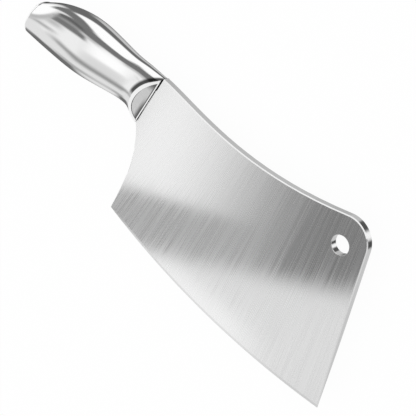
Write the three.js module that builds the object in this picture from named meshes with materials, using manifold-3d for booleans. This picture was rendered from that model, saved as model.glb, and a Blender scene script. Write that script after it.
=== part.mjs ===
// All-steel kitchen cleaver with a hollow welded handle.
// Millimetres. While it is drawn, X runs forward from the handle to the front of the blade, Y points to
// the spine and Z across the thickness. X = 0 and Y = 0 lie close to the middle of the joint between blade
// and handle, and Z = 0 is the middle of the plate. The finished knife lies on its left side, +Z up.

import * as THREE from 'three';
import { mergeVertices, toCreasedNormals } from 'three/addons/utils/BufferGeometryUtils.js';
import Module from 'manifold-3d';

const solids = await Module();
solids.setup();

// Blade plate
const PLATE_THICKNESS = 4.4;
const EDGE_THICKNESS = 0.4; // flat left at the very edge
const EDGE_BEVEL_HEIGHT = 1.8; // narrow second bevel along the edge
const EDGE_BEVEL_THICKNESS = 1.1; // thickness where that bevel starts
const GRIND_HEIGHT = 68; // the long taper starts this far above the edge
const EDGE_BREAK = 0.5; // small chamfer round the rest of the plate

// Blade outline
const EDGE_RADIUS = 462; // sweep of the cutting edge
const EDGE_DEPTH = 91.4; // lowest point of the edge below the handle's middle
const EDGE_LOWEST_X = 112; // where that lowest point lies, ahead of the joint
const TIP_X = 167.3;
const HEEL_X = -6.4;
const HEEL_BOW_X = 5.4; // the heel bows forward to here between handle and edge
const HEEL_BOW_DEPTH = 34;
const FRONT_LEAN = 6.4; // degrees that the front edge leans back
const CORNER_X = 154.75; // where spine and front edge would meet without the rounding
const CORNER_RADIUS = 13.5; // rounded upper front corner
const SPINE_SLOPE = 14.3; // degrees that the spine rises into the rounded corner
const SPINE_SAG_X = 71.8; // pulls the spine down into its hollow line
const SPINE_SAG_Y = 2.7;
const SPINE_CREST_X = 32; // keeps the spine in line with the handle's top at first
const SPINE_CREST_Y = 17.5;

// Hanging hole
const HOLE_DIAMETER = 11.2;
const HOLE_X = 142.1;
const HOLE_Y = 3.3;

// Joint between handle and blade, a slanting line. All sections of the handle slant with it.
const JOINT_X = 0.8; // middle of the joint line
const JOINT_Y = 2.8;
const JOINT_LEAN = 17; // degrees, top forward

// Tang, the stub of the plate inside the bolster
const TANG_LENGTH = 17;
const TANG_HEIGHT = 18;

// Handle: its length and the places that its top, bottom and width run through. A section with a taper is
// narrower towards its top, by that share of its width at the very top.
const HANDLE_LENGTH = 108.5; // from the drawing's zero to the lowest corner of the butt
const PALM_FROM_BUTT = 25;
const BELLY_FROM_BUTT = 53;
const BUTT = { x: -HANDLE_LENGTH, top: 8.6, bottom: -10.4, width: 15.6, taper: 0 };
const PALM = { x: BUTT.x + PALM_FROM_BUTT, top: 20, bottom: -11.5, width: 23.4, taper: 0 };
const BELLY = { x: BUTT.x + BELLY_FROM_BUTT, top: 24.6, bottom: -12, width: 25, taper: 0 };
const NECK = { x: -20, top: 21, bottom: -8.4, width: 17.2, taper: 0 };
const FLARE = { x: -8.5, top: 20.7, bottom: -10.6, width: 16.8, taper: 0.14 };
const MOUTH = { x: 6, top: 19.9, bottom: -25.5, width: 19.5, taper: 0.4 };
const SECTION_POWER = 2.2; // 2 is an ellipse, more is fuller

// Handle pieces
const SHELL_WALL = 1.3;
const CLEARANCE = 0.25; // between pieces that are slid together before welding
const CAP_THICKNESS = 3;
const CAP_SPIGOT = 8;
const BOLSTER_LENGTH = 24; // behind the joint line
const LIP_THICKNESS = 6; // flat front of the handle, left round the plate
const FACET_ANGLE = 36; // crescent facets, degrees from the plate

// Smoothness
const RING_POINTS = 48;
const SKIN_STEP = 3.2;
const BLANK_STEPS = 26;
const ROUND_STEPS = 6;
const CURVE_POINTS = 20;
const HOLE_SIDES = 48;

const FAR = 200; // size of the cutting blocks, larger than the handle
const PLATE_MARGIN = 10; // the ground plate is drawn this much larger than its outline

const radians = THREE.MathUtils.degToRad;
const halfPlate = PLATE_THICKNESS / 2;

// Solid modelling

function toSolid(geometry) {
  const positions = new THREE.BufferGeometry();
  positions.setAttribute('position', geometry.getAttribute('position').clone());
  positions.setIndex(geometry.index ? geometry.index.clone() : null);
  const welded = mergeVertices(positions, 1e-5);
  return new solids.Manifold(new solids.Mesh({
    numProp: 3,
    vertProperties: new Float32Array(welded.getAttribute('position').array),
    triVerts: new Uint32Array(welded.index.array),
  }));
}

function toGeometry(solid, creaseAngle) {
  const { vertProperties, triVerts } = solid.getMesh();
  const geometry = new THREE.BufferGeometry();
  geometry.setAttribute('position', new THREE.BufferAttribute(new Float32Array(vertProperties), 3));
  geometry.setIndex(new THREE.BufferAttribute(new Uint32Array(triVerts), 1));
  return toCreasedNormals(geometry, radians(creaseAngle));
}

// Closed body through a row of rings, which all have the same number of points.
function loft(rings) {
  const count = rings[0].length;
  const points = rings.flat();
  const faces = [];
  for (let r = 0; r < rings.length - 1; r += 1) {
    for (let i = 0; i < count; i += 1) {
      const a = r * count + i;
      const b = r * count + (i + 1) % count;
      faces.push(a, b, a + count, b, b + count, a + count);
    }
  }
  const last = (rings.length - 1) * count;
  for (let i = 1; i < count - 1; i += 1) {
    faces.push(0, i + 1, i, last, last + i, last + i + 1);
  }
  const geometry = new THREE.BufferGeometry().setFromPoints(points);
  geometry.setIndex(faces);
  return toSolid(geometry);
}

function block(width, depth, height, place) {
  return toSolid(new THREE.BoxGeometry(width, depth, height).applyMatrix4(place));
}

// Handle skin

const SECTIONS = [BUTT, PALM, BELLY, NECK, FLARE, MOUTH];

// Smooth line through one size of the handle's sections.
function sectionLine(size) {
  return new THREE.SplineCurve(SECTIONS.map((section) => new THREE.Vector2(section.x, section[size])));
}

const topLine = sectionLine('top');
const bottomLine = sectionLine('bottom');
const widthLine = sectionLine('width');
const taperLine = sectionLine('taper');

// Height of such a line at x, found by halving, because x only grows along it.
function lineAt(line, x) {
  let low = 0;
  let high = 1;
  for (let i = 0; i < 40; i += 1) {
    const middle = (low + high) / 2;
    if (line.getPoint(middle).x < x) {
      low = middle;
    } else {
      high = middle;
    }
  }
  return line.getPoint(low).y;
}

// X on the slanting plane that crosses the handle's middle height at a station.
function slantedX(station, y) {
  return station + Math.tan(radians(JOINT_LEAN)) * (y - JOINT_Y);
}

// Where the top or bottom line of the handle meets that plane.
function onSection(line, station) {
  let y = JOINT_Y;
  for (let i = 0; i < 40; i += 1) {
    y = lineAt(line, slantedX(station, y));
  }
  return new THREE.Vector2(slantedX(station, y), y);
}

// Slanting oval ring of the handle, drawn in from the outer skin by the inset and moved by the shift.
function handleRing(station, inset, shift = 0) {
  const top = onSection(topLine, station);
  const bottom = onSection(bottomLine, station);
  const middle = top.clone().lerp(bottom, 0.5);
  const upward = top.clone().sub(bottom).normalize();
  const halfHeight = top.distanceTo(bottom) / 2 - inset;
  const halfWidth = lineAt(widthLine, station) / 2 - inset;
  const taper = lineAt(taperLine, station);
  const ring = [];
  for (let i = 0; i < RING_POINTS; i += 1) {
    const angle = 2 * Math.PI * i / RING_POINTS;
    const up = Math.cos(angle);
    const across = Math.sin(angle);
    const reach = (Math.abs(up) ** SECTION_POWER + Math.abs(across) ** SECTION_POWER) ** (-1 / SECTION_POWER);
    const point = middle.clone().addScaledVector(upward, halfHeight * reach * up);
    const width = halfWidth * (1 - taper * reach * up);
    ring.push(new THREE.Vector3(point.x + shift, point.y, width * reach * across));
  }
  return ring;
}

function handleBody(inset, fromStation, toStation) {
  const steps = Math.ceil((toStation - fromStation) / SKIN_STEP);
  const rings = [];
  for (let i = 0; i <= steps; i += 1) {
    rings.push(handleRing(fromStation + (toStation - fromStation) * i / steps, inset));
  }
  return loft(rings);
}

// Stations of the butt's end and of the seam where the cap meets the skin.
const buttStation = -HANDLE_LENGTH - slantedX(0, BUTT.bottom);
const seamStation = buttStation + CAP_THICKNESS;

// What the front of the handle loses: a slanting facet on either side, which leaves a crescent of flat metal
// sloping down to the lip.
function facetCuts() {
  const slope = new THREE.Matrix4()
    .makeTranslation(JOINT_X, JOINT_Y, 0)
    .multiply(new THREE.Matrix4().makeRotationZ(-radians(JOINT_LEAN)))
    .multiply(new THREE.Matrix4().makeTranslation(0, 0, LIP_THICKNESS / 2))
    .multiply(new THREE.Matrix4().makeRotationY(radians(FACET_ANGLE)))
    .multiply(new THREE.Matrix4().makeTranslation(0, 0, FAR / 2));
  const right = block(FAR, FAR, FAR, slope);
  return right.add(right.mirror([0, 0, 1]));
}

const facets = facetCuts();

function halfSpace(side) {
  return block(2 * FAR, 2 * FAR, FAR, new THREE.Matrix4().makeTranslation(0, 0, side * FAR / 2));
}

// One pressed half of the handle's skin. The two meet on the middle of the plate, where they are welded.
function handleShell(side) {
  const outer = handleBody(0, seamStation, JOINT_X);
  const inner = handleBody(SHELL_WALL, seamStation - 1, JOINT_X + 1);
  return outer.subtract(inner).subtract(facets).intersect(halfSpace(side));
}

// Solid block that fills the front of the skin, slotted for the tang.
function bolster() {
  const slotRear = JOINT_X - TANG_LENGTH - CLEARANCE;
  const slotPlace = new THREE.Matrix4().makeTranslation(slotRear + FAR / 2, JOINT_Y, 0);
  const slot = block(FAR, TANG_HEIGHT + 2 * CLEARANCE, PLATE_THICKNESS + 2 * CLEARANCE, slotPlace);
  const plug = handleBody(SHELL_WALL + CLEARANCE, JOINT_X - BOLSTER_LENGTH, JOINT_X);
  return plug.subtract(facets).subtract(slot);
}

// Rounded plug that closes the butt, with a spigot inside the skin.
function endCap() {
  const rings = [];
  for (let i = 0; i <= ROUND_STEPS; i += 1) {
    const turn = Math.PI / 2 * (1 - i / ROUND_STEPS);
    const inset = CAP_THICKNESS * (1 - Math.cos(turn));
    rings.push(handleRing(seamStation, inset, -CAP_THICKNESS * Math.sin(turn)));
  }
  const spigotInset = SHELL_WALL + CLEARANCE;
  const spigot = loft([
    handleRing(seamStation, spigotInset, -CAP_THICKNESS / 2),
    handleRing(seamStation, spigotInset, CAP_SPIGOT),
  ]);
  return loft(rings).add(spigot);
}

// Blade

function edgeY(x) {
  return EDGE_RADIUS - EDGE_DEPTH - Math.sqrt(EDGE_RADIUS ** 2 - (x - EDGE_LOWEST_X) ** 2);
}

// Plate ground along its curved edge: parallel above the grind line, then a long taper, then a narrow bevel.
function groundPlate() {
  const fromX = JOINT_X - TANG_LENGTH - PLATE_MARGIN;
  const toX = TIP_X + PLATE_MARGIN;
  const topY = onSection(topLine, JOINT_X).y + PLATE_MARGIN;
  const rings = [];
  for (let i = 0; i <= BLANK_STEPS; i += 1) {
    const x = fromX + (toX - fromX) * i / BLANK_STEPS;
    const edge = edgeY(x);
    const rightFace = [
      [topY, halfPlate],
      [edge + GRIND_HEIGHT, halfPlate],
      [edge + EDGE_BEVEL_HEIGHT, EDGE_BEVEL_THICKNESS / 2],
      [edge, EDGE_THICKNESS / 2],
    ];
    const right = rightFace.map(([y, z]) => new THREE.Vector3(x, y, z));
    const left = rightFace.map(([y, z]) => new THREE.Vector3(x, y, -z));
    rings.push([...right, ...left.reverse()]);
  }
  return loft(rings);
}

// Side view of the plate: front edge, rounded corner, hollow spine, tang and bowed heel. The bottom is left
// long, because the ground edge ends it.
function plateOutline() {
  const lean = Math.tan(radians(FRONT_LEAN));
  const frontX = (y) => TIP_X - lean * (y - edgeY(TIP_X));
  const cornerY = edgeY(TIP_X) + (TIP_X - CORNER_X) / lean;
  const slope = radians(SPINE_SLOPE);
  const alongSpine = new THREE.Vector2(Math.cos(slope), Math.sin(slope));
  const alongFront = new THREE.Vector2(Math.sin(radians(FRONT_LEAN)), -Math.cos(radians(FRONT_LEAN)));
  const turn = Math.acos(alongSpine.dot(alongFront));
  const corner = new THREE.Vector2(CORNER_X, cornerY);
  const setback = CORNER_RADIUS * Math.tan(turn / 2);
  const spineEnd = corner.clone().addScaledVector(alongSpine, -setback);
  const belowSpine = new THREE.Vector2(alongSpine.y, -alongSpine.x);
  const roundCentre = spineEnd.clone().addScaledVector(belowSpine, CORNER_RADIUS);
  const low = -EDGE_DEPTH - PLATE_MARGIN;
  const shoulder = JOINT_X + CLEARANCE / Math.cos(radians(JOINT_LEAN));
  const shoulderTop = onSection(topLine, JOINT_X).y;
  const shoulderBottom = onSection(bottomLine, JOINT_X).y;
  const tangTop = JOINT_Y + TANG_HEIGHT / 2;
  const tangBottom = JOINT_Y - TANG_HEIGHT / 2;
  const tangRear = JOINT_X - TANG_LENGTH;

  const outline = new THREE.Shape();
  outline.moveTo(HEEL_X, low);
  outline.lineTo(frontX(low), low);
  outline.absarc(roundCentre.x, roundCentre.y, CORNER_RADIUS, radians(FRONT_LEAN), Math.PI / 2 + slope);
  outline.bezierCurveTo(
    SPINE_SAG_X,
    SPINE_SAG_Y,
    SPINE_CREST_X,
    SPINE_CREST_Y,
    slantedX(shoulder, shoulderTop),
    shoulderTop,
  );
  outline.lineTo(slantedX(shoulder, tangTop), tangTop);
  outline.lineTo(tangRear, tangTop);
  outline.lineTo(tangRear, tangBottom);
  outline.lineTo(slantedX(shoulder, tangBottom), tangBottom);
  outline.lineTo(slantedX(shoulder, shoulderBottom), shoulderBottom);
  outline.quadraticCurveTo(HEEL_BOW_X, -HEEL_BOW_DEPTH, HEEL_X, edgeY(HEEL_X));
  outline.closePath();
  return outline;
}

function blade() {
  const depth = PLATE_THICKNESS - 2 * EDGE_BREAK;
  const pressed = new THREE.ExtrudeGeometry(plateOutline(), {
    depth,
    curveSegments: CURVE_POINTS,
    bevelSegments: 1,
    bevelThickness: EDGE_BREAK,
    bevelSize: EDGE_BREAK,
    bevelOffset: -EDGE_BREAK,
  });
  pressed.translate(0, 0, -depth / 2);
  const holeRadius = HOLE_DIAMETER / 2;
  const hole = new THREE.CylinderGeometry(holeRadius, holeRadius, 2 * PLATE_THICKNESS, HOLE_SIDES);
  hole.rotateX(Math.PI / 2).translate(HOLE_X, HOLE_Y, 0);
  return groundPlate().intersect(toSolid(pressed)).subtract(toSolid(hole));
}

// Assembly

const brushedSteel = new THREE.MeshStandardMaterial({ color: 0xc4c6c7, roughness: 0.38, metalness: 1 });
const polishedSteel = new THREE.MeshStandardMaterial({ color: 0xd9dbdc, roughness: 0.08, metalness: 1 });
const plainSteel = new THREE.MeshStandardMaterial({ color: 0xaeb1b3, roughness: 0.25, metalness: 1 });

function piece(name, solid, material, creaseAngle) {
  const mesh = new THREE.Mesh(toGeometry(solid, creaseAngle), material);
  mesh.name = name;
  return mesh;
}

const cleaver = new THREE.Group();
cleaver.name = 'cleaver';
cleaver.add(
  piece('blade', blade(), brushedSteel, 20),
  piece('bolster', bolster(), plainSteel, 30),
  piece('handle_shell_right', handleShell(1), polishedSteel, 30),
  piece('handle_shell_left', handleShell(-1), polishedSteel, 30),
  piece('end_cap', endCap(), polishedSteel, 40),
);

// The origin is the middle of the knife's box, on the surface that it lies on.
const bounds = new THREE.Box3().setFromObject(cleaver);
const middle = bounds.getCenter(new THREE.Vector3());
cleaver.position.set(-middle.x, -middle.y, -bounds.min.z);

export default cleaver;
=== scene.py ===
"""All-steel kitchen cleaver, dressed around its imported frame.

The pieces are modelled in millimetres on the maker's drawing, where X runs forward from the handle to
the front of the blade, Y points to the spine and Z across the plate. They are then laid into the row
frame, in metres. Handle pieces are modelled in a frame of their own that leans with the joint.
"""

from __future__ import annotations

import logging
import math
from collections.abc import Callable, Iterator, Sequence
from contextlib import contextmanager
from dataclasses import dataclass
from enum import Enum
from functools import reduce

import bmesh
import bpy
from mathutils import Matrix, Vector

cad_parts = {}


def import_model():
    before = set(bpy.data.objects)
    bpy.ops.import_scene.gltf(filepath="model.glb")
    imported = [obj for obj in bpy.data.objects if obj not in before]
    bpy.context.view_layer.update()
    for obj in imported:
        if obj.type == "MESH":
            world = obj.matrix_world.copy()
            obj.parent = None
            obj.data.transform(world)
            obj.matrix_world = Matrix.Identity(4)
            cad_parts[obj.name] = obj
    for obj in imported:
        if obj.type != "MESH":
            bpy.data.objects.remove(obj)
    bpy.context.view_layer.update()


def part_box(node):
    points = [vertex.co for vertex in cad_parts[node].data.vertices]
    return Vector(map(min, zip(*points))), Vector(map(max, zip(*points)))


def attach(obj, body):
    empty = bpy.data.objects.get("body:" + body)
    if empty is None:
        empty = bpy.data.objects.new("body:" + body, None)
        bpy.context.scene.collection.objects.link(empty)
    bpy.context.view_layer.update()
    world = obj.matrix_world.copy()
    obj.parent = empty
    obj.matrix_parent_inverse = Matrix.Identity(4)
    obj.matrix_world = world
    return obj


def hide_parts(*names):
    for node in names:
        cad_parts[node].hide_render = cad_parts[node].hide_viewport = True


LOG = logging.getLogger("cleaver")
MM = 0.001
BODY = "root"

# Distances in millimetres within which doubles are merged: as modelled, after a cut, after trimming.
WELD = 1e-4
CUT_WELD = 1e-3
TRIM_WELD = 0.02

SUBDIVISIONS = 2
HALVINGS = 40
ORIGIN = Vector((0, 0, 0))
FORWARD = Vector((1, 0, 0))

Span = tuple[float, float]
Corner = tuple[Vector, Vector, Vector]
Value = float | bpy.types.NodeSocket


class Slot(Enum):
    """Material slots of the record."""

    PLATE = "brushed_plate"
    BOLSTER = "bolster_steel"
    SKIN = "polished_skin"


class Side(Enum):
    """Sides of the plate, by the sign of Z."""

    RIGHT = 1
    LEFT = -1


class PlateFace(Enum):
    """Kinds of face on the blade, by the place of their finish."""

    SIDE = 0
    RIM = 1
    BEVEL = 2


class Bench:
    """The modelling operators that the pieces share."""

    @staticmethod
    def clear() -> None:
        """Deselect everything, so that an operator acts on one piece alone."""
        bpy.ops.object.select_all(action="DESELECT")

    @staticmethod
    def focus(piece: bpy.types.Object) -> None:
        """Make a piece the only selected and the active one.

        Args:
            piece: Piece that the next operator acts on.
        """
        Bench.clear()
        piece.select_set(True)
        bpy.context.view_layer.objects.active = piece

    @staticmethod
    @contextmanager
    def edit(piece: bpy.types.Object) -> Iterator[None]:
        """Work on a piece in edit mode, with all of it selected at the start.

        Args:
            piece: Piece to work on.

        Returns:
            The context, which leaves edit mode at its end.
        """
        Bench.focus(piece)
        bpy.ops.object.mode_set(mode="EDIT")
        bpy.ops.mesh.select_all(action="SELECT")
        yield
        bpy.ops.object.mode_set(mode="OBJECT")

    @staticmethod
    def pick_edges(piece: bpy.types.Object, test: Callable[[bmesh.types.BMEdge], bool]) -> None:
        """Select in edit mode the edges that pass a test, and nothing else.

        Args:
            piece: Piece that is in edit mode.
            test: Says whether an edge is wanted.
        """
        bpy.ops.mesh.select_mode(type="EDGE")
        bpy.ops.mesh.select_all(action="DESELECT")
        mesh = bmesh.from_edit_mesh(piece.data)
        mesh.normal_update()
        for edge in [edge for edge in mesh.edges if test(edge)]:
            edge.select_set(True)
        mesh.select_flush_mode()
        bmesh.update_edit_mesh(piece.data)

    @staticmethod
    def modify(piece: bpy.types.Object, kind: str, **settings: object) -> None:
        """Add a modifier and apply it.

        Args:
            piece: Piece to modify.
            kind: Type of the modifier.
            settings: Options of the modifier, by name.
        """
        Bench.focus(piece)
        modifier = piece.modifiers.new(kind.lower(), kind)
        for name, value in settings.items():
            setattr(modifier, name, value)
        bpy.ops.object.modifier_apply(modifier=modifier.name)

    @staticmethod
    def refine(piece: bpy.types.Object) -> None:
        """Subdivide a piece into a smooth surface."""
        Bench.modify(piece, "SUBSURF", levels=SUBDIVISIONS, render_levels=SUBDIVISIONS)

    @staticmethod
    def cut(piece: bpy.types.Object, at: Vector, away: Vector) -> None:
        """Slice off what lies away from a plane through a point, and close the cut."""
        with Bench.edit(piece):
            bpy.ops.mesh.bisect(plane_co=at, plane_no=away, use_fill=True, clear_outer=True)

    @staticmethod
    def carve(piece: bpy.types.Object, tool: bpy.types.Object, operation: str) -> None:
        """Join a piece with a tool body by a Boolean modifier, and remove the tool."""
        Bench.modify(piece, "BOOLEAN", operation=operation, object=tool, solver="EXACT")
        bpy.data.objects.remove(tool)

    @staticmethod
    def close(piece: bpy.types.Object, weld: float) -> None:
        """Merge doubles and turn all faces outwards.

        Args:
            piece: Piece to mend.
            weld: Distance within which doubles are merged.
        """
        with Bench.edit(piece):
            bpy.ops.mesh.remove_doubles(threshold=weld)
            bpy.ops.mesh.normals_make_consistent(inside=False)

    @staticmethod
    def twin(piece: bpy.types.Object, name: str) -> bpy.types.Object:
        """Copy a piece with a mesh of its own.

        Args:
            piece: Piece to copy.
            name: Name of the copy.

        Returns:
            The copy.
        """
        copy = piece.copy()
        copy.data = piece.data.copy()
        copy.name = name
        bpy.context.scene.collection.objects.link(copy)
        return copy

    @staticmethod
    def smooth(piece: bpy.types.Object, angle: float) -> None:
        """Shade smooth, with edges sharper than the angle (degrees) left crisp."""
        Bench.focus(piece)
        bpy.ops.object.shade_smooth_by_angle(angle=math.radians(angle))

    @staticmethod
    def apply_place() -> None:
        """Put the selected piece's place, turn and scale into its mesh."""
        bpy.ops.object.transform_apply(location=True, rotation=True, scale=True)

    @staticmethod
    def lay(piece: bpy.types.Object, place: Vector, lean: float = 0.0) -> None:
        """Lay a piece from its drawing into the row frame and apply its place.

        Args:
            piece: Finished piece, in millimetres.
            place: Where the drawing's zero goes, in metres.
            lean: Turn about Z, in degrees.
        """
        turn = Matrix.Rotation(math.radians(lean), 4, "Z")
        piece.matrix_world = Matrix.Translation(place) @ turn @ Matrix.Scale(MM, 4)
        Bench.focus(piece)
        Bench.apply_place()


@dataclass(frozen=True)
class Station:
    """Sizes of the handle at one place along it, in millimetres."""

    x: float
    top: float
    bottom: float
    width: float
    taper: float = 0


@dataclass(frozen=True)
class Ring:
    """One oval section of the handle in the leaning frame, narrower towards its top by the taper."""

    x: float
    y: float
    half_height: float
    half_width: float
    taper: float = 0

    def drawn_in(self, inset: float, shift: Vector = ORIGIN) -> Ring:
        """Return the ring made smaller all round and moved."""
        height, width = self.half_height - inset, self.half_width - inset
        return Ring(self.x + shift.x, self.y + shift.y, height, width, self.taper)

    def narrowing(self, y: float) -> float:
        """Return how wide the ring is at a height, as a share of its full width."""
        return 1 - self.taper * (y - self.y) / self.half_height


@dataclass(frozen=True)
class HandleForm:
    """Form of the handle's skin, which all its pieces follow."""

    joint: Vector = Vector((0.8, 2.8, 0))
    joint_lean: float = 17
    length: float = 108.5
    power: float = 2.2
    wall: float = 1.3
    cap_thickness: float = 3
    lip_thickness: float = 6
    facet_angle: float = 36
    ring_points: int = 40
    ring_step: float = 4.4
    overrun: float = 3
    stations: tuple[Station, ...] = (
        Station(-108.5, 8.6, -10.4, 15.6),
        Station(-83.5, 20, -11.5, 23.4),
        Station(-55.5, 24.6, -12, 25),
        Station(-20, 21, -8.4, 17.2),
        Station(-8.5, 20.7, -10.6, 16.8, 0.14),
        Station(6, 19.9, -25.5, 19.5, 0.4),
    )

    @property
    def lean(self) -> float:
        """Lean of the joint in radians."""
        return math.radians(self.joint_lean)

    @property
    def seam(self) -> float:
        """Station where the end cap meets the skin."""
        return -self.length - self.slanted_x(0, self.stations[0].bottom) + self.cap_thickness

    def slanted_x(self, station: float, y: float) -> float:
        """Return X on the leaning plane that crosses the joint's height at a station."""
        return station + math.tan(self.lean) * (y - self.joint.y)

    def along(self, distance: float) -> Vector:
        """Return a move along the drawing's X, in the leaning frame."""
        return Vector((distance * math.cos(self.lean), distance * math.sin(self.lean), 0))

    def line(self, size: str, share: float) -> Span:
        """Follow the smooth line through the stations.

        Args:
            size: Name of a station's size.
            share: Place on the line, from 0 to 1.

        Returns:
            X and that size there.
        """
        last = len(self.stations) - 1
        whole = min(int(share * last), last - 1)
        t = share * last - whole
        picked = [self.stations[min(max(whole + step, 0), last)] for step in (-1, 0, 1, 2)]

        def blend(before: float, start: float, end: float, after: float) -> float:
            """Run a smooth line through four neighbours.

            Args:
                before: Value one station before the start.
                start: Value where the line starts.
                end: Value where the line ends.
                after: Value one station after the end.

            Returns:
                The value at the place between start and end.
            """
            rise, fall = (end - before) / 2, (after - start) / 2
            cube = (2 * start - 2 * end + rise + fall) * t**3
            return cube + (3 * end - 3 * start - 2 * rise - fall) * t**2 + rise * t + start

        return blend(*(s.x for s in picked)), blend(*(getattr(s, size) for s in picked))

    def size_at(self, size: str, x: float) -> float:
        """Find one size of the handle at X by halving.

        Args:
            size: Name of a station's size.
            x: Place along the handle.

        Returns:
            The size there.
        """
        low, high = 0.0, 1.0
        for _ in range(HALVINGS):
            middle = (low + high) / 2
            if self.line(size, middle)[0] < x:
                low = middle
            else:
                high = middle
        return self.line(size, low)[1]

    def height_at(self, size: str, station: float) -> float:
        """Find where the top or bottom line meets a station's leaning plane.

        Args:
            size: Which of the two lines.
            station: Place of the plane.

        Returns:
            Y of the meeting point.
        """
        y = self.joint.y
        for _ in range(HALVINGS):
            y = self.size_at(size, self.slanted_x(station, y))
        return y

    def ring(self, station: float) -> Ring:
        """Work out the oval section at a station.

        Args:
            station: Place of the section's plane.

        Returns:
            The section, in the leaning frame.
        """
        stretch = 1 / math.cos(self.lean)
        top = (self.height_at("top", station) - self.joint.y) * stretch
        bottom = (self.height_at("bottom", station) - self.joint.y) * stretch
        x = (station - self.joint.x) * math.cos(self.lean)
        offset = (station - self.joint.x) * math.sin(self.lean)
        half_width = self.size_at("width", station) / 2
        taper = self.size_at("taper", station)
        return Ring(x, (top + bottom) / 2 + offset, (top - bottom) / 2, half_width, taper)

    def rings(self, first: float, last: float) -> list[Ring]:
        """Return evenly spaced rings between two stations."""
        count = math.ceil((last - first) / self.ring_step)
        return [self.ring(first + (last - first) * i / count) for i in range(count + 1)]

    def tube(self, name: str, rings: Sequence[Ring]) -> bpy.types.Object:
        """Draw a ring and pull it along the others into an open tube.

        Args:
            name: Name of the new piece.
            rings: Sections, from the butt forwards or the other way.

        Returns:
            The tube, in the leaning frame.
        """
        Bench.clear()
        start = rings[0]
        upright = (0, math.pi / 2, 0)
        bpy.ops.mesh.primitive_circle_add(vertices=self.ring_points, radius=1, rotation=upright)
        Bench.apply_place()
        piece = bpy.context.object
        piece.name = piece.data.name = name
        for vertex in piece.data.vertices:
            spread = abs(vertex.co.y) ** self.power + abs(vertex.co.z) ** self.power
            vertex.co *= spread ** (-1 / self.power)
        with Bench.edit(piece):
            size = (1, start.half_height, start.half_width)
            bpy.ops.transform.resize(value=size, center_override=(0, 0, 0))
            bpy.ops.transform.translate(value=(start.x, start.y, 0))
            for before, after in zip(rings, rings[1:]):
                self.pull(before, after)
        for vertex in piece.data.vertices:
            ring = min(rings, key=lambda r: abs(r.x - vertex.co.x))
            vertex.co.z *= ring.narrowing(vertex.co.y)
        return piece

    @staticmethod
    def pull(before: Ring, after: Ring) -> None:
        """Extrude the selected ring to the next one, in edit mode.

        Args:
            before: Ring that is selected.
            after: Ring that it becomes.
        """
        move = (after.x - before.x, after.y - before.y, 0)
        bpy.ops.mesh.extrude_edges_move(TRANSFORM_OT_translate={"value": move})
        size = (1, after.half_height / before.half_height, after.half_width / before.half_width)
        bpy.ops.transform.resize(value=size, center_override=(after.x, after.y, 0))

    def facet_plane(self, side: Side) -> tuple[Vector, Vector]:
        """Work out one crescent facet's plane.

        Args:
            side: Side of the plate.

        Returns:
            A point on the facet and its outward normal, in the leaning frame.
        """
        angle = math.radians(self.facet_angle)
        at = Vector((0, 0, side.value * self.lip_thickness / 2))
        return at, Vector((math.sin(angle), 0, side.value * math.cos(angle)))


@dataclass
class HandleShells:
    """The two pressed halves of the handle's skin."""

    form: HandleForm

    def build(self) -> dict[Side, bpy.types.Object]:
        """Model both halves from one tube.

        Returns:
            The halves by side, in the leaning frame.
        """
        rings = self.form.rings(self.form.seam, self.form.joint.x + self.form.overrun)
        tube = self.form.tube("handle_tube", rings)
        Bench.close(tube, WELD)
        Bench.refine(tube)
        Bench.modify(tube, "SOLIDIFY", thickness=self.form.wall, offset=-1, use_even_offset=True)
        halves = {side: self.half(tube, side) for side in Side}
        bpy.data.objects.remove(tube)
        return halves

    def half(self, tube: bpy.types.Object, side: Side) -> bpy.types.Object:
        """Cut one half out of the tube.

        Args:
            tube: Whole skin with its wall.
            side: Half that is kept.

        Returns:
            The half, closed all round.
        """
        piece = Bench.twin(tube, f"skin_{side.name.lower()}")
        Bench.cut(piece, ORIGIN, Vector((0, 0, -side.value)))
        Bench.cut(piece, ORIGIN, FORWARD)
        at, away = self.form.facet_plane(side)
        Bench.cut(piece, at, away)
        Bench.close(piece, CUT_WELD)
        return piece


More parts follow.
